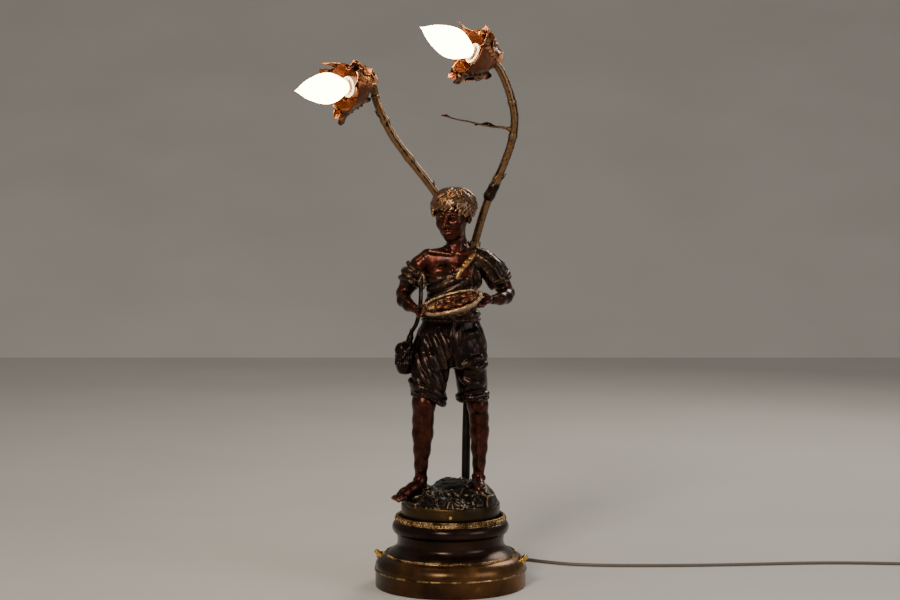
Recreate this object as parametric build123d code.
from build123d import *
import math
import os

# Two-light figural table lamp: a round stepped socle, a cast ground with a standing boy, a stem tube
# behind the boy that forks into two branches, and a leafy cup with a candle bulb on each branch.
# Frame: +Z up, origin on the resting plane under the centre of the socle, the boy faces -Y.
# Everything is in millimetres.

# ---------------------------------------------------------------- driving dimensions
SHEET = 1.2                 # wall of the spun socle shells
CASTING = 2.5               # wall of the hollow castings
GAP = 0.3                   # clearance between pieces that only stand beside each other
SLIDE_GAP = 0.15            # radial clearance of a piece that slides in its guide

HEIGHT = 664.5              # overall height, table to the top of the upper cup
DRAWN_HEIGHT = 664.5        # the overall height that the boy and the branches are drawn for
SKIRT_R = 88.5              # outer radius of the socle's lowest drum
FELT_T = 2.0
SKIRT_FOOT_Z = 0.6          # the skirt's edge stays just above the table
RIM_Z = 20.0                # top of the drum, where the rim wire runs
RIM_WIRE_R = 1.3
OVOLO_TOP_R = SKIRT_R - 11  # radius where the quarter-round skirt meets its flat deck
SKIRT_DECK_Z = 37.0         # top of the skirt's flat deck
BEAD_R = 1.3                # the beaded strip at the foot of the socle body
WAIST_R = 62.5
TORUS_R = 68.7              # outermost radius of the socle's upper moulding
BODY_DECK_Z = 77.0          # top of the socle body
BAND_R = 64.4               # leaf band
BAND_H = 6.5
GROUND_R = 58.0             # smooth drum of the cast ground
GROUND_TOP_Z = 98.5

PLATE_T = 1.5
PLATE_R = SKIRT_R - 6.5
BALLAST_R = 52.0
BALLAST_T = 15.0
POST_R = 4.0
POST_RING_R = OVOLO_TOP_R - 6.5
POST_ANGLES = (40, 200, 290)
SCREW_R = 1.9
SCREW_HEAD_R = 3.6
SCREW_HEAD_T = 1.4

STEM_OD = 10.0              # threaded lamp tube
STEM_BORE = 8.0
BRANCH_OD = 9.5
BRANCH_BORE = 7.0
STEM_X, STEM_Y = 18.0, 36.0
STEM_FOOT_Z = 27.0
NUT_AF = 15.0
NUT_T = 4.0
WASHER_R = 11.0
WASHER_T = 1.2
LEAD_R = 1.4                # one insulated wire pair to each lampholder

SWITCH_ANGLE = -11.5        # one push switch at this angle, the other opposite
BUTTON_R = 3.2
BUTTON_OUT = 8.0            # how far the button stands above the skirt
BUTTON_TRAVEL = 2.5
BEZEL_R = 5.4
BEZEL_T = 2.0
SWITCH_BODY_R = 7.5
SWITCH_BODY_L = 20.0

CORD_R = 2.0                # round two-core flex
GLAND_ANGLE = 75.0
GLAND_Z = 10.0
GLAND_OUT = 22.0
COIL_RING_R = 22.0          # mean radius of the put-away coil
COIL_BUNDLE_R = 8.1
COIL_HALF_H = 4.1           # half height of the coil's bundle

HOLDER_R = 12.0             # insulating body of the lampholder
HOLDER_TO = 28.0
SHELL_BORE_R = 7.1          # threaded sleeve that takes the bulb's cap
SHELL_T = 0.5
THREAD_GAP = 0.15
CAP_R = SHELL_BORE_R - THREAD_GAP   # crest of the bulb cap's thread
CAP_PITCH = 2.82
CAP_FROM, CAP_TO = 11.0, 32.0
GLASS_R = 17.5
GLASS_TIP = 104.0
NECK_R = CAP_R + 0.65       # the glass is cemented into the cap's flare
CAP_FLARE_R = CAP_R + 1.15
GLASS_WALL = 0.8
CUP_R = 27.0                # rim radius of the inner spun cup
CUP_DEPTH = 33.0
CUP_T = 0.8
PETALS = 6
PETAL_T = 1.0
PETAL_SEAT = 3.8            # heights above the branch's end, along the cup's axis
CUP_SEAT = PETAL_SEAT + PETAL_T
HOLDER_SEAT = CUP_SEAT + CUP_T


# ---------------------------------------------------------------- helpers
def revolved(points):
    """Solid turned about Z from an outline of (radius, height) points."""
    outline = make_face(Polyline(*points, close=True))
    return revolve(Plane.XZ * outline, Axis.Z)


def ring(outer, inner, z_low, z_high):
    """Plain round ring about Z."""
    return revolved([(inner, z_low), (outer, z_low), (outer, z_high), (inner, z_high)])


def disc(radius, z_low, z_high):
    """Plain round disc or rod about Z."""
    return revolved([(0, z_low), (radius, z_low), (radius, z_high), (0, z_high)])


def bent_path(corners):
    """Straight runs joined by tangent arcs, each arc as large as its two runs allow."""
    corners = [Vector(*corner) for corner in corners]
    radii = []
    for before, here, after in zip(corners, corners[1:], corners[2:]):
        run_in, run_out = here - before, after - here
        turn = math.radians(run_in.get_angle(run_out))
        radii.append(0.45 * min(run_in.length, run_out.length) / math.tan(turn / 2))
    return FilletPolyline(*corners, radius=radii), radii


def round_bar(points, radius):
    """Round bar of one radius along a bent path."""
    path, _ = bent_path(points)
    return sweep(Plane(origin=path @ 0, z_dir=path % 0) * Circle(radius), path=path)


def tube(points, outer, bore):
    """Tube along a bent path."""
    return round_bar(points, outer / 2) - round_bar(points, bore / 2)


def cone_between(a, b, r_a, r_b):
    """Cone frustum from point a to point b."""
    along = b - a
    base = Plane(origin=a, z_dir=along)
    if abs(r_a - r_b) < 1e-3:
        return base * Pos(0, 0, along.length / 2) * Cylinder(r_a, along.length)
    return base * Pos(0, 0, along.length / 2) * Cone(r_a, r_b, along.length)


def level(z):
    """Height of a drawn height once the lamp is made as tall as asked."""
    return GROUND_TOP_Z + (z - GROUND_TOP_Z) * (HEIGHT - GROUND_TOP_Z) / (DRAWN_HEIGHT - GROUND_TOP_Z)


def drawn_height(z):
    """Drawn height of a height in the lamp, the inverse of level."""
    return GROUND_TOP_Z + (z - GROUND_TOP_Z) * (DRAWN_HEIGHT - GROUND_TOP_Z) / (HEIGHT - GROUND_TOP_Z)


def at(x, y, z):
    """Point of the boy or the branches from its drawn place."""
    return Vector(x, y, level(z))


def limb(*stations, beside=(1, 0, 0)):
    """Smooth round limb through (x, y, z, radius) stations; beside is a direction that it never points in."""
    points = [at(*station[:3]) for station in stations]
    rounds = []
    for k, point in enumerate(points):
        along = points[min(k + 1, len(points) - 1)] - points[max(k - 1, 0)]
        section = Plane(origin=point, x_dir=Vector(*beside).cross(along), z_dir=along)
        rounds.append(section * Circle(stations[k][3]))
    return loft(rounds)


def stacked(sections, inset=0.0):
    """Loft through horizontal ellipses, (x, y, z, half width, half depth), each made smaller by inset."""
    return loft([Pos(*at(x, y, z)) * Ellipse(a - inset, b - inset) for x, y, z, a, b in sections])


def egg(centre, radii, turn=(0, 0, 0)):
    """Ellipsoid with its own half sizes, turned about its centre."""
    return Pos(*at(*centre)) * Rot(*turn) * scale(Sphere(1), by=radii)


def polar(radius, angle, z=0.0):
    """Point at a radius and an angle in degrees about Z."""
    return Vector(radius * math.cos(math.radians(angle)), radius * math.sin(math.radians(angle)), z)


# ---------------------------------------------------------------- socle
def skirt_outline(inset):
    """Half section of the skirt: drum, quarter-round and flat deck, drawn inset from the outer skin."""
    drum_r, rim_z, deck_z = SKIRT_R - inset, RIM_Z - inset, SKIRT_DECK_Z - inset
    top_r = OVOLO_TOP_R - inset
    bulge_r = top_r + (drum_r - top_r) * math.cos(math.pi / 4)
    bulge_z = rim_z + (deck_z - rim_z) * math.sin(math.pi / 4)
    foot_z = SKIRT_FOOT_Z - (inset and 5.0)
    drum = Polyline((0, deck_z), (0, foot_z), (drum_r, foot_z), (drum_r, rim_z))
    ovolo = ThreePointArc((drum_r, rim_z), (bulge_r, bulge_z), (top_r, deck_z))
    deck = Line((top_r, deck_z), (0, deck_z))
    return make_face([drum, ovolo, deck])


def body_outline(inset):
    """Half section of the socle body: ogee, waist and upper torus."""
    foot_r, waist_r = OVOLO_TOP_R - 2 * BEAD_R - GAP - inset, WAIST_R - inset
    foot_z = SKIRT_DECK_Z - (inset and 5.0)
    torus_r, top_r, top_z = TORUS_R - inset, BAND_R - inset, BODY_DECK_Z - inset
    torus_low, torus_mid = 61.5, 69.5
    ogee = Spline((foot_r, SKIRT_DECK_Z + 2.0), (foot_r - 5.5, 43.0), (waist_r + 1.2, 48.0),
                  (waist_r, 54.0), (waist_r + 1.0, torus_low))
    torus = ThreePointArc((waist_r + 1.0, torus_low), (torus_r, torus_mid), (top_r, top_z))
    foot = Polyline((0, foot_z), (foot_r, foot_z), (foot_r, SKIRT_DECK_Z + 2.0))
    top = Polyline((top_r, top_z), (0, top_z), (0, foot_z))
    return make_face([foot, ogee, torus, top])


def shell_of(outline):
    """Open-bottomed shell turned from a half section that can be drawn inset."""
    outer = revolve(Plane.XZ * outline(0.0), Axis.Z)
    inner = revolve(Plane.XZ * outline(SHEET), Axis.Z)
    return outer - inner


def switch_plane(angle):
    """Plane on the skirt's quarter-round, its Z pointing straight out of the skin."""
    at = math.pi / 4
    drum, ovolo = SKIRT_R - OVOLO_TOP_R, SKIRT_DECK_Z - RIM_Z
    radius = OVOLO_TOP_R + drum * math.cos(at)
    height = RIM_Z + ovolo * math.sin(at)
    spot = polar(radius, angle, height)
    outward = polar(math.cos(at), angle, math.sin(at))
    return Plane(origin=spot, x_dir=polar(1, angle + 90), z_dir=outward)


SWITCH_PLANES = {"right": switch_plane(SWITCH_ANGLE), "left": switch_plane(SWITCH_ANGLE + 180)}
GLAND_PLANE = Plane(origin=polar(SKIRT_R, GLAND_ANGLE, GLAND_Z), z_dir=polar(1, GLAND_ANGLE))
STEM_HOLE = Pos(STEM_X, STEM_Y, 0) * disc(STEM_OD / 2 + SLIDE_GAP, 0, 160)
PLATE_TOP = FELT_T + PLATE_T


def base_skirt():
    """Lowest shell of the socle with its screw posts, and holes for the stem, the switches and the cord."""
    shell = shell_of(skirt_outline) + plate_posts()
    shell -= STEM_HOLE
    for plane in SWITCH_PLANES.values():
        shell -= plane * Cylinder(BEZEL_R - 1.0, 3 * BEZEL_R)
    return shell - GLAND_PLANE * Cylinder(4.0 + SLIDE_GAP, 12)


def rim_wire():
    """Half-round wire along the top of the drum."""
    wire = revolve(Plane.XZ * Pos(SKIRT_R, RIM_Z) * RegularPolygon(RIM_WIRE_R, 12), Axis.Z)
    return wire - revolve(Plane.XZ * skirt_outline(0.0), Axis.Z)


def bead_strip():
    """Beaded strip at the foot of the socle body, a row of small balls on a thin ring."""
    centre_r, low = OVOLO_TOP_R - BEAD_R, SKIRT_DECK_Z
    return ring(centre_r + BEAD_R, centre_r - BEAD_R, low, low + 2 * BEAD_R)


def base_body():
    """Upper shell of the socle: ogee, waist and torus."""
    return shell_of(body_outline) - STEM_HOLE


def leaf_band():
    """Pressed band round the top of the socle body, leaning in towards its upper edge."""
    low, high = BODY_DECK_Z, BODY_DECK_Z + BAND_H
    lean = 1.8
    return revolved([(BAND_R, low), (BAND_R - lean, high), (BAND_R - lean - SHEET, high),
                     (BAND_R - lean - SHEET, high - SHEET), (GROUND_R + GAP, high - SHEET - 1.5),
                     (GROUND_R + GAP, low)])


def felt_pad():
    """Felt disc glued under the bottom plate."""
    return disc(PLATE_R, 0, FELT_T) - screw_spots(SCREW_HEAD_R + 0.6, 0, FELT_T)


def screw_spots(radius, z_low, z_high):
    """The three screw places round the bottom plate, as round plugs."""
    plugs = [Pos(*polar(POST_RING_R, angle)) * disc(radius, z_low, z_high) for angle in POST_ANGLES]
    return Part() + plugs


def bottom_plate():
    """Sheet steel plate that closes the socle."""
    return disc(PLATE_R, FELT_T, PLATE_TOP) - screw_spots(SCREW_R + SLIDE_GAP, FELT_T, PLATE_TOP)


def plate_posts():
    """Posts cast under the skirt's deck that take the plate screws."""
    deck_under = SKIRT_DECK_Z - SHEET
    post = disc(POST_R, PLATE_TOP, deck_under + SHEET / 2) - disc(SCREW_R, PLATE_TOP, PLATE_TOP + 8)
    return [Pos(*polar(POST_RING_R, angle)) * post for angle in POST_ANGLES]


def plate_screws():
    """Screws through the bottom plate into the posts."""
    screws = []
    for angle in POST_ANGLES:
        head = disc(SCREW_HEAD_R, FELT_T - SCREW_HEAD_T, FELT_T)
        slot = Box(2 * SCREW_HEAD_R, 0.9, 1.2)
        shank = disc(SCREW_R, FELT_T, PLATE_TOP + 7)
        screw = head + shank - Pos(0, 0, FELT_T - SCREW_HEAD_T) * slot
        screws.append(Pos(*polar(POST_RING_R, angle)) * screw)
    return Compound(children=screws)


def ballast():
    """Cast iron ring that keeps the lamp standing, with a notch where the wires pass."""
    weight = ring(BALLAST_R, 8.0, PLATE_TOP, PLATE_TOP + BALLAST_T)
    return weight - Pos(STEM_X, STEM_Y, 0) * disc(13.0, 0, 40)


# ---------------------------------------------------------------- cast ground
GROUND_CAVITY = disc(GROUND_R - CASTING, BODY_DECK_Z - 1, GROUND_TOP_Z - CASTING)


def ground():
    """Cast ground: a smooth drum with rocks, a shelf at the front left and a block at the front right."""
    drum = disc(GROUND_R, BODY_DECK_Z, GROUND_TOP_Z)
    rocks = egg((12, 14, 97), (44, 41, 27))
    rocks += egg((27, -14, 97), (28, 26, 17))
    rocks += egg((-22, -8, 98), (34, 36, 18), (0, -4, 0))
    rocks += Pos(40, -27, 102) * Rot(0, 8, -35) * Box(20, 18, 22)
    rocks += egg((-2, -34, 98), (30, 20, 9))
    slab = Pos(0, 0, BODY_DECK_Z + 50) * Cylinder(GROUND_R + 1.0, 100)
    rocks &= slab & Pos(0, 0, GROUND_TOP_Z + 40) * Box(200, 200, 82)
    return drum + rocks - GROUND_CAVITY - STEM_HOLE


def plaque_pin():
    """Small round-headed pin in the front of the drum."""
    head = Pos(0, -GROUND_R - 0.2, 89) * Rot(90, 0, 0) * Cylinder(1.8, 1.6)
    return (head - disc(GROUND_R, BODY_DECK_Z, GROUND_TOP_Z)).solids()[0]


# ---------------------------------------------------------------- stem and branches
FORK = at(25.4, STEM_Y, 380)
STEM_STRAIGHT = 51.5        # the tube stands upright this far above the ground's top, then leans
STEM_POINTS = [(STEM_X, STEM_Y, STEM_FOOT_Z), (STEM_X, STEM_Y, GROUND_TOP_Z + STEM_STRAIGHT),
               (FORK.X - 0.2, FORK.Y, FORK.Z - 5.5)]
BRANCH_START = 17.0         # where the branch tubes begin, from the fork's centre
FORK_SOCKET = 24.0          # how far the fork's sockets reach

# the two cups: where each branch tube ends, and the direction that its bulb points in
LAMPS = {
    "left": {"origin": at(-97, -11, 585), "axis": Vector(-0.747, -0.658, -0.096).normalized()},
    "right": {"origin": at(47, -4, 612), "axis": Vector(-0.782, -0.520, 0.3436).normalized()},
}
BRANCH_DRAWN = {
    "left": [(13, 34, 407), (-16, 29, 458), (-47, 19, 499), (-68, 11, 528), (-81, 6, 555), (-87, 5, 571),
             (-89, 0, 581.5)],
    "right": [(30, 33, 406), (43, 28, 449), (62, 20, 493), (72, 15, 523), (74.7, 11, 548), (70.5, 7, 571),
              (64, 5, 590), (58.5, 3, 602)],
}


def toward(start, end, distance):
    """Point on the way from start to end."""
    return start + (end - start).normalized() * distance


def branch_route(side):
    """Corners of a branch tube, from inside its fork socket to its cup."""
    drawn = [at(*point) for point in BRANCH_DRAWN[side]]
    cup, axis = LAMPS[side]["origin"], LAMPS[side]["axis"]
    return [toward(FORK, drawn[0], BRANCH_START)] + drawn + [cup - axis * 8, cup]


def stem_tube():
    """Lamp tube from inside the socle up to the fork."""
    return tube(STEM_POINTS, STEM_OD, STEM_BORE)


def branch(side):
    """Bent branch tube from the fork to its cup."""
    return tube(branch_route(side), BRANCH_OD, BRANCH_BORE)


def stem_fork():
    """Fork casting with a socket for the stem and one for each branch, bored for the wires."""
    thick = BRANCH_OD / 2 + 1.7
    fork = Pos(*FORK) * Sphere(8.8) + cone_between(FORK, toward(FORK, Vector(*STEM_POINTS[1]), 13), 7.8, 6.8)
    for side in ("left", "right"):
        fork += cone_between(FORK, toward(FORK, at(*BRANCH_DRAWN[side][0]), FORK_SOCKET), thick + 1, thick)
    fork -= round_bar(STEM_POINTS, STEM_OD / 2)
    for side in ("left", "right"):
        fork -= round_bar(branch_route(side), BRANCH_OD / 2)
        fork -= round_bar(lead_route(side), LEAD_R + 0.4)
    return max(fork.solids(), key=lambda s: s.volume)


def stem_nuts():
    """Nut and washer on the stem under the skirt's deck, and again under the cast ground's roof."""
    made = []
    for seat in (SKIRT_DECK_Z - SHEET, GROUND_TOP_Z - CASTING):
        face = seat - WASHER_T
        hexagon = extrude(RegularPolygon(NUT_AF / 2, 6, major_radius=False), NUT_T)
        nut = Pos(0, 0, face - NUT_T) * hexagon - disc(STEM_OD / 2, 0, 160)
        made.append(Pos(STEM_X, STEM_Y, 0) * (nut + ring(WASHER_R, STEM_OD / 2, face, seat)))
    return Compound(children=made)


def branch_buds():
    """Leaf sheath and thorns soldered on the branches, each cut to sit on its tube."""
    left = round_bar(branch_route("left"), BRANCH_OD / 2)
    right = round_bar(branch_route("right"), BRANCH_OD / 2)
    sheath = cone_between(at(45.5, 27.2, 456), at(51, 24.6, 469), 6.6, 5.6) - right
    thorn_right = cone_between(at(55, 22.0, 475), at(66, 20.5, 482), 2.6, 0.5) - right
    thorn_left = cone_between(at(-20, 27, 461), at(-19, 25.5, 474), 2.6, 0.6) - left
    thorn_low = cone_between(at(-80, 6.5, 546), at(-88, 4, 555), 2.4, 0.5) - left
    buds = (sheath, thorn_right, thorn_left, thorn_low)
    pieces = [max(bud.solids(), key=lambda s: s.volume) for bud in buds]
    return Compound(children=pieces)


def twig():
    """Small leafy twig on the right branch, pointing across to the left."""
    right = round_bar(branch_route("right"), BRANCH_OD / 2)
    stalk = limb((71, 13, 535, 1.7), (50, 7, 538, 1.5), (32, 2, 541, 1.2), (8, -2, 546, 0.9),
                 (-10, -4, 551, 0.5), beside=(0, 0, 1))
    leaf = egg((42, 4, 539.5), (14, 7, 2.2), (20, 8, 8))
    return max((stalk + leaf - right).solids(), key=lambda s: s.volume)


# ---------------------------------------------------------------- lamps
def lamp_plane(side):
    """Plane at the end of a branch, its Z along the bulb."""
    lamp = LAMPS[side]
    return Plane(origin=lamp["origin"], x_dir=Vector(0, 0, 1).cross(lamp["axis"]), z_dir=lamp["axis"])


CUP_PROFILE = [(CUP_R - 13.8, CUP_SEAT), (CUP_R - 7.5, CUP_SEAT + 5.7), (CUP_R - 3.0, CUP_DEPTH - 13),
               (CUP_R, CUP_DEPTH)]
PETAL_PROFILE = [(CUP_R - 12.8, PETAL_SEAT), (CUP_R - 5.8, PETAL_SEAT + 5.8), (CUP_R - 1.5, CUP_DEPTH - 14),
                 (CUP_R + 3.0, CUP_DEPTH - 4), (CUP_R + 10.0, CUP_DEPTH + 3), (CUP_R + 15.0, CUP_DEPTH + 5)]


def flared_shell(profile, thickness, foot_r):
    """Thin flared wall turned from a profile of (radius, height) points, with a flat foot."""
    outer = [(foot_r, profile[0][1])] + profile
    inner = [(r - thickness * 0.75, z + thickness) for r, z in reversed(profile)]
    inner.append((foot_r, inner[-1][1]))
    return revolved(outer + inner)


def inner_cup():
    """Spun inner cup round the lampholder."""
    return flared_shell(CUP_PROFILE, CUP_T, 5.0)


def petal_outline():
    """Leaf outline in its own plane: across, and up from the foot."""
    half = [(3.6, 2), (9.0, 12), (7.5, 17), (13.0, 25), (9.5, 29), (10.5, 34), (5.0, 37), (0, 42)]
    return half + [(-x, y) for x, y in reversed(half[:-1])]


def petals():
    """Leaf petals round the cup, each one a leaf-shaped piece of the same flared wall."""
    wall = flared_shell(PETAL_PROFILE, PETAL_T, 11.0)
    blank = Pos(0, 0, -2) * Rot(90, 0, 0) * extrude(make_face(Polyline(*petal_outline(), close=True)), 60)
    made = []
    for k in range(PETALS):
        leaf = wall & (Rot(0, 0, k * 360 / PETALS) * blank)
        made.append(max(leaf.solids(), key=lambda s: s.volume))
    return Compound(children=made)


def holder_nut():
    """Calyx-shaped nut that clamps the petals and the cup to the lampholder on the end of the branch."""
    bore = BRANCH_OD / 2
    return revolved([(bore, -4.0), (bore + 1.7, -4.0), (bore + 3.7, -1.5), (12.5, PETAL_SEAT - 0.8),
                     (12.5, PETAL_SEAT), (bore + 1.6, PETAL_SEAT), (bore + 1.6, CUP_SEAT), (bore, CUP_SEAT)])


def lampholder():
    """Insulating lampholder body with a floor and a round bore."""
    sleeve_r = SHELL_BORE_R + SHELL_T
    floor_top = HOLDER_SEAT + 1.9
    body = disc(HOLDER_R, HOLDER_SEAT, HOLDER_TO) - disc(sleeve_r, floor_top, HOLDER_TO)
    return body - disc(2.2, 0, HOLDER_TO)


def socket_shell():
    """Threaded sleeve in the lampholder, seen as a smooth sleeve at its crest radius."""
    return ring(SHELL_BORE_R + SHELL_T, SHELL_BORE_R, CAP_FROM - 2, HOLDER_TO)


def bulb_cap():
    """Rolled screw cap of the bulb: ridges at the thread's pitch on a thin sleeve."""
    crest, root, inner = CAP_R, CAP_R - 0.55, CAP_R - 0.95
    turns = int((CAP_TO - CAP_FROM - 4) / CAP_PITCH)
    outline = [(inner, CAP_FROM), (root, CAP_FROM)]
    for k in range(turns):
        low = CAP_FROM + 0.8 + k * CAP_PITCH
        outline += [(root, low), (crest, low + CAP_PITCH * 0.35), (crest, low + CAP_PITCH * 0.6)]
    outline += [(root, CAP_TO - 3.2), (CAP_FLARE_R, CAP_TO - 2.0), (CAP_FLARE_R, CAP_TO), (NECK_R, CAP_TO),
                (NECK_R, CAP_TO - 1.6), (inner, CAP_TO - 2.6)]
    return revolved(outline)


def bulb_foot():
    """Insulator and contact button at the foot of the bulb."""
    inner = CAP_R - 0.95
    return revolved([(0, CAP_FROM - 3.2), (1.8, CAP_FROM - 3.2), (2.4, CAP_FROM - 2.4), (inner, CAP_FROM),
                     (inner, CAP_FROM + 2), (0, CAP_FROM + 2)])


def glass_outline(inset):
    """Half section of the candle-shaped glass, open at its neck."""
    neck, tip = NECK_R - inset, GLASS_TIP - inset * 2.5
    bottom = CAP_TO - 1.6
    curve = Spline((neck, bottom + 2.5), (11.8 - inset, 40), (GLASS_R - inset, 56), (14.6 - inset, 74),
                   (7.4 - inset, 91), (2.4 - inset * 0.6, 99), (0, tip))
    foot = Polyline((0, bottom), (neck, bottom), (neck, bottom + 2.5))
    return make_face([foot, curve, Line((0, tip), (0, bottom))])


def bulb_glass():
    """Glass envelope of the candle bulb."""
    outer = revolve(Plane.XZ * glass_outline(0.0), Axis.Z)
    return outer - revolve(Plane.XZ * glass_outline(GLASS_WALL), Axis.Z)


def filament_mount():
    """Glass post with two support wires and the filament across them."""
    mount = disc(2.2, CAP_FROM + 2, 44)
    for sign in (1, -1):
        mount += round_bar([(sign * 1.0, 0, 42), (sign * 4.5, 0, 54), (sign * 4.5, 0, 62)], 0.5)
    return mount + Pos(0, 0, 61) * Rot(0, 90, 0) * Cylinder(0.35, 11)


# ---------------------------------------------------------------- switches
def switch_bezels():
    """Threaded bushing and collar of each push switch."""
    made = []
    for plane in SWITCH_PLANES.values():
        collar = plane * disc(BEZEL_R, -2.5, BEZEL_T) - revolve(Plane.XZ * skirt_outline(0.0), Axis.Z)
        bushing = plane * disc(BEZEL_R - 1.0 - SLIDE_GAP, -6, BEZEL_T)
        made.append(collar + bushing - plane * disc(BUTTON_R + SLIDE_GAP, -6, BEZEL_T))
    return Compound(children=made)


def switch_button(side):
    """Round-ended push button that slides in its bezel."""
    button = disc(BUTTON_R, -11, BUTTON_OUT)
    top_edges = button.edges().filter_by(GeomType.CIRCLE).sort_by(Axis.Z)[-1]
    return SWITCH_PLANES[side] * fillet(top_edges, 1.6)


def switch_body(side):
    """Closed body of the push switch, behind the skirt, with two solder tags."""
    body = disc(SWITCH_BODY_R, -6 - SWITCH_BODY_L, -6)
    well = disc(BUTTON_R + SLIDE_GAP, -11 - BUTTON_TRAVEL - 1.0, -6)
    tags = [Pos(sign * 3.5, 0, -6 - SWITCH_BODY_L - 2.5) * Box(1.0, 3.0, 5.0) for sign in (1, -1)]
    return SWITCH_PLANES[side] * (body - well + tags)


# ---------------------------------------------------------------- wiring
TERMINAL_SPOT = polar(70.0, 118.0, PLATE_TOP + 6.0)


def terminal_block():
    """Insulated terminal block on the bottom plate, with two screw wells."""
    block = Box(24, 12, 12)
    for x in (-6, 6):
        block -= Pos(x, 0, 5) * Cylinder(2.0, 6)
    return Pos(*TERMINAL_SPOT) * Rot(0, 0, 28) * block


def lead_route(side):
    """Corners of one wire pair: terminal block, over the ballast, up the stem and along its branch."""
    shift = Vector(1.27, 1.27, 0) * (1 if side == "right" else -1)
    inward = polar(-1, 118.0)
    start = TERMINAL_SPOT + inward * 3
    over = BALLAST_T + PLATE_TOP + 4.5
    low = [start, start + inward * 7 + Vector(0, 0, 4), Vector(-24, 46, over),
           Vector(STEM_X - 7, STEM_Y + 1.7, over), Vector(STEM_X, STEM_Y, over),
           Vector(*STEM_POINTS[1]), Vector(*STEM_POINTS[2]), FORK]
    end = LAMPS[side]["origin"] + LAMPS[side]["axis"] * (CUP_SEAT + 0.2)
    return [point + shift for point in low[:-1]] + [FORK + shift * 0.6] + branch_route(side)[:-1] + [end]


def leads():
    """The wire pairs to the two lampholders."""
    block = terminal_block()
    bars = [round_bar(lead_route(side), LEAD_R) for side in ("left", "right")]
    return Compound(children=[cut_to_fit(bar, block) for bar in bars])


# ---------------------------------------------------------------- boy
HEAD_SECTIONS = [(6.5, 0, 392, 12.5, 12), (5.5, -1, 408, 10.5, 11), (3.0, -7, 416, 15, 18),
                 (2.0, -7, 428, 20, 22), (3.5, -4, 442, 24, 25), (4.5, -3, 456, 20, 21),
                 (4.5, -3, 466, 9, 10)]


def boy_head():
    """Head casting: neck, face and a thick cap of hair, hollow and open below."""
    return stacked(HEAD_SECTIONS) - stacked([(x, y, z - 1, a, b) for x, y, z, a, b in HEAD_SECTIONS[:6]], 3.5)


TORSO_SECTIONS = [(0.5, -1, 313, 33, 21), (0.5, -2, 326, 29, 19.5), (1.5, -3, 345, 29, 19),
                  (2.5, -3, 362, 33, 20), (3.0, -2, 377, 35, 18), (4.5, -1, 388, 29, 14),
                  (6.0, 0, 397, 13, 11)]


def boy_torso():
    """Torso casting in its loose shirt, open at the waist."""
    body = stacked(TORSO_SECTIONS)
    return body - stacked([(x, y, z - 1.0, a, b) for x, y, z, a, b in TORSO_SECTIONS[:5]], CASTING)


TRAY_PLACE = Pos(*at(2, -50, 334)) * Rot(28, 0, 0) * Rot(0, -16, 0)


def grip(x, y, z, radius):
    """A limb's last station, given by a point in the dish's own frame, so that a hand stays under the dish."""
    point = (TRAY_PLACE * Pos(x, y, z)).position
    return (point.X, point.Y, drawn_height(point.Z), radius)


def arm_right():
    """The boy's right arm, thick at the bunched sleeve, with the hand under the tray's end."""
    return limb((-27, 1, 386, 10.0), (-37, 1, 374, 12.4), (-43, 2, 364, 12.6), (-49, 3, 355, 10.0),
                (-55, 2, 344, 8.6), (-53, -10, 335, 7.8), (-45, -28, 328, 6.4), grip(-31, 3, -5.5, 4.4))


def arm_left():
    """The boy's left arm, thick at the rolled sleeve, with the hand under the tray's other end."""
    return limb((34, 3, 386, 9.5), (46, 3, 374, 12.6), (54, 3, 363, 12.8), (60, 4, 354, 10.0),
                (66, 2, 344, 8.6), (63, -12, 339, 7.6), (53, -34, 337, 6.2), grip(31, 1, -5.5, 5.0))


def trousers():
    """Baggy knee-length trousers, one casting, hollow from the waist down to the fork of the legs."""
    hips_at = [(0.5, -1, 312, 33, 21), (0, 0, 300, 39, 25), (-1, 0, 280, 44, 27), (-1.5, -1, 258, 42, 25)]
    hips = stacked(hips_at)
    leg_r = stacked([(-20, -3, 262, 22, 22), (-25, -8, 244, 21, 20), (-26, -10, 226, 19.5, 18)])
    leg_l = stacked([(22, 2, 262, 20, 21), (25, 5, 242, 18, 19), (26, 6, 222, 16.5, 17)])
    hollow = stacked([(x, y, z + 0.5, a, b) for x, y, z, a, b in hips_at[:3]], CASTING)
    return hips + leg_r + leg_l - hollow


def leg(side):
    """Bare lower leg and foot: the right one steps forward over the edge, the left one bears the weight."""
    if side == "right":
        shin = limb((-30, -11, 238, 13.0), (-31, -14, 216, 14.2), (-32, -9, 186, 13.0), (-34, -7, 152, 9.4),
                    (-35, -4, 124, 7.6))
        return shin + limb((-32, 4, 119, 5.0), (-36, -5, 120, 7.0), (-47, -19, 115, 6.6),
                           (-57, -29, 110, 6.0), (-64, -35, 107, 4.0))
    shin = limb((29, 7, 234, 12.0), (32, 6, 212, 12.2), (34, 11, 180, 11.6), (34, 12, 150, 8.8),
                (33, 12, 124, 7.0))
    return shin + limb((33, 19, 119, 4.6), (33, 11, 120, 6.6), (33.5, -5, 119, 6.6), (34, -19, 115, 4.6))


TRAY_OVAL = 0.6             # the dish is this much narrower than it is long
TRAY_FLOOR = -5.0
FRUIT_R = 3.8


def oval(points):
    """Oval dish shape turned from an outline and narrowed front to back."""
    return TRAY_PLACE * scale(revolved(points), by=(1, TRAY_OVAL, 1))


def tray():
    """Shallow oval dish with a thick rim."""
    return oval([(0, TRAY_FLOOR - 2), (24, TRAY_FLOOR - 2), (34, 0), (35, 2), (34, 3), (32.5, 2.2),
                 (23, TRAY_FLOOR), (0, TRAY_FLOOR)])


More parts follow.
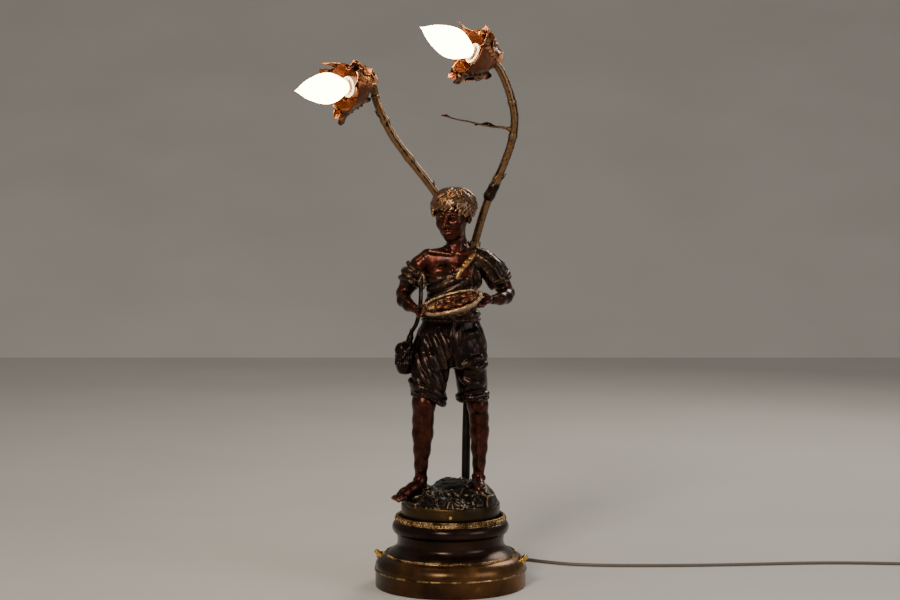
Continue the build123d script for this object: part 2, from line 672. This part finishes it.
def tray_load():
    """Small round fruits lying in the dish."""
    spots = [(-17, -3), (-8, 5), (-7, -6), (2, 0), (11, 6), (12, -5), (20, 1)]
    ball = Sphere(FRUIT_R)
    return Compound(children=[TRAY_PLACE * Pos(x, y, TRAY_FLOOR + FRUIT_R) * ball for x, y in spots])


def satchel():
    """Round pouch hanging at the boy's right hip."""
    pouch = egg((-52, -2, 270), (11.5, 13.0, 19.0), (0, 10, 0))
    return pouch + limb((-50, -3, 280, 6.0), (-47, -5, 292, 4.0), (-45, -7, 300, 3.0))


def satchel_strap():
    """Narrow strap from the pouch up the boy's side to the bunched sleeve."""
    return limb((-45, -7, 298, 2.0), (-39, -17, 310, 2.0), (-33, -21, 325, 2.0), (-32, -20, 340, 2.0),
                (-35, -12, 356, 2.0))


# ---------------------------------------------------------------- cord
COIL_CENTRE = (602.0, 138.0)
GLAND_END = GLAND_PLANE.origin + GLAND_PLANE.z_dir * GLAND_OUT
ON_TABLE = CORD_R
CORD_POINTS = [
    GLAND_END, polar(SKIRT_R + 39.7, 75.3, 8.0), polar(SKIRT_R + 59.5, 72.3, 4.5), (69.0, 149.0, ON_TABLE),
    (95.0, 140.5, ON_TABLE), (119.0, 123.5, ON_TABLE), (147.0, 109.5, ON_TABLE), (186.0, 102.5, ON_TABLE),
    (243.0, 101.0, ON_TABLE), (300.0, 103.0, ON_TABLE), (357.0, 108.0, ON_TABLE), (413.0, 114.5, ON_TABLE),
    (468.0, 119.5, ON_TABLE), (522.0, 117.0, ON_TABLE), (571.0, 111.5, ON_TABLE),
    (COIL_CENTRE[0] - 2.4, COIL_CENTRE[1] - 28.0, ON_TABLE),
]


def cord_gland():
    """Tapered strain relief in the skirt's back, with a collar inside and outside."""
    inside = disc(6.0, -SHEET - 3.5, -SHEET - 0.4)
    waist = disc(4.0, -SHEET - 0.4, 1.0)
    outside = revolved([(0, 0.6), (6.0, 0.6), (6.0, 3.0), (4.6, 4.5), (3.4, GLAND_OUT), (0, GLAND_OUT)])
    return GLAND_PLANE * (inside + waist + outside - disc(CORD_R, -20, 6))


def cord_run():
    """The free flex from the gland to the coil."""
    path, radii = bent_path(CORD_POINTS)
    print("cord radii", [round(r, 1) for r in radii], "length", round(path.length, 1))
    made = sweep(Plane(origin=path @ 0, z_dir=path % 0) * Circle(CORD_R), path=path)
    tube = math.pi * CORD_R ** 2 * path.length
    print("cord volume over section times length", round(made.volume / tube, 4))
    return made - cord_coil() - cord_gland()


def cord_coil():
    """Outer shape of the neat coil of flex that is left over."""
    bundle = Pos(COIL_RING_R, 0) * Ellipse(COIL_BUNDLE_R, COIL_HALF_H)
    return Pos(*COIL_CENTRE, COIL_HALF_H) * revolve(Plane.XZ * bundle, Axis.Z)


def cord_tie():
    """Tie over one side of the coil, its two feet just above the table."""
    wrap, foot = 1.3, 0.3
    hoop = Ellipse(COIL_BUNDLE_R + wrap, COIL_HALF_H + wrap) - Ellipse(COIL_BUNDLE_R, COIL_HALF_H)
    hoop -= Pos(0, foot - COIL_HALF_H - 20) * Rectangle(60, 40)
    hoop = revolve(Plane.XZ * Pos(COIL_RING_R, 0) * hoop, Axis.Z, 15)
    return Pos(*COIL_CENTRE, COIL_HALF_H) * Rot(0, 0, 180) * hoop


PLUG_CENTRE = (COIL_CENTRE[0] + 28.0, COIL_CENTRE[1] + 50.0, 6.8)
PIN_R = 2.0
PIN_SPREAD = 18.6


def plug_body():
    """Flat two-pin plug lying beside the coil, its cord end towards the coil."""
    outline = make_face(Polyline((-17, -4), (-17, 10), (-13, 16), (13, 16), (17, 10), (17, -4),
                                 (6, -18), (-6, -18), close=True))
    body = extrude(outline, 13.5)
    return Pos(PLUG_CENTRE[0], PLUG_CENTRE[1], PLUG_CENTRE[2] - 6.75) * body


def plug_pins():
    """The plug's two round pins with their insulating sleeves in one piece."""
    made = []
    for sign in (1, -1):
        at = Vector(PLUG_CENTRE[0] + sign * PIN_SPREAD / 2, PLUG_CENTRE[1] + 16, PLUG_CENTRE[2])
        made.append(cone_between(at, at + Vector(0, 19, 0), PIN_R, PIN_R))
    return Compound(children=made)


# ---------------------------------------------------------------- build
def cut_to_fit(piece, *neighbours):
    """The piece with its neighbours' space taken out, keeping its largest solid."""
    for other in neighbours:
        piece = piece - other
    return max(piece.solids(), key=lambda s: s.volume)


def build():
    """All sub-parts by node name."""
    parts = {
        "base_skirt": base_skirt(), "rim_wire": rim_wire(), "bead_strip": bead_strip(),
        "base_body": base_body(),
        "leaf_band": leaf_band(), "felt_pad": felt_pad(), "bottom_plate": bottom_plate(),
        "plate_screws": plate_screws(), "ballast": ballast(),
        "ground": ground(), "plaque_pin": plaque_pin(),
        "stem_tube": stem_tube(), "stem_nuts": stem_nuts(), "stem_fork": stem_fork(),
        "branch_left": branch("left"), "branch_right": branch("right"),
        "branch_buds": branch_buds(), "twig": twig(),
        "terminal_block": terminal_block(), "leads": leads(), "switch_bezels": switch_bezels(),
        "cord_gland": cord_gland(), "cord_run": cord_run(), "cord_coil": cord_coil(), "cord_tie": cord_tie(),
        "plug_body": plug_body(), "plug_pins": plug_pins(),
    }
    for side in ("left", "right"):
        plane = lamp_plane(side)
        parts[f"inner_cup_{side}"] = plane * inner_cup()
        parts[f"petals_{side}"] = plane * petals()
        parts[f"holder_nut_{side}"] = plane * holder_nut()
        parts[f"lampholder_{side}"] = plane * lampholder()
        parts[f"socket_shell_{side}"] = plane * socket_shell()
        parts[f"bulb_cap_{side}"] = plane * bulb_cap()
        parts[f"bulb_foot_{side}"] = plane * bulb_foot()
        parts[f"bulb_glass_{side}"] = plane * bulb_glass()
        parts[f"filament_{side}"] = plane * filament_mount()
        parts[f"switch_button_{side}"] = switch_button(side)
        parts[f"switch_body_{side}"] = switch_body(side)

    pants, whole_torso = cut_to_fit(trousers(), stacked(TORSO_SECTIONS)), stacked(TORSO_SECTIONS)
    dish_space = oval([(0, TRAY_FLOOR - 2), (24, TRAY_FLOOR - 2), (34, 0), (35, 2), (34, 3), (34, 30),
                       (0, 30)])
    parts["boy_torso"] = boy_torso()
    parts["boy_head"] = cut_to_fit(boy_head(), whole_torso)
    parts["boy_trousers"] = pants
    parts["boy_tray"] = tray()
    parts["tray_fruit"] = tray_load()
    parts["boy_arm_right"] = cut_to_fit(arm_right(), whole_torso, dish_space)
    parts["boy_arm_left"] = cut_to_fit(arm_left(), whole_torso, dish_space)
    parts["boy_leg_right"] = cut_to_fit(leg("right"), pants, parts["ground"])
    parts["boy_leg_left"] = cut_to_fit(leg("left"), pants, parts["ground"])
    parts["boy_satchel"] = cut_to_fit(satchel(), pants, whole_torso)
    parts["satchel_strap"] = cut_to_fit(satchel_strap(), whole_torso, pants, parts["boy_satchel"],
                                        parts["boy_arm_right"])
    return parts


def main():
    os.makedirs("parts", exist_ok=True)
    for name, shape in build().items():
        export_step(shape, f"parts/{name}.step")


main()
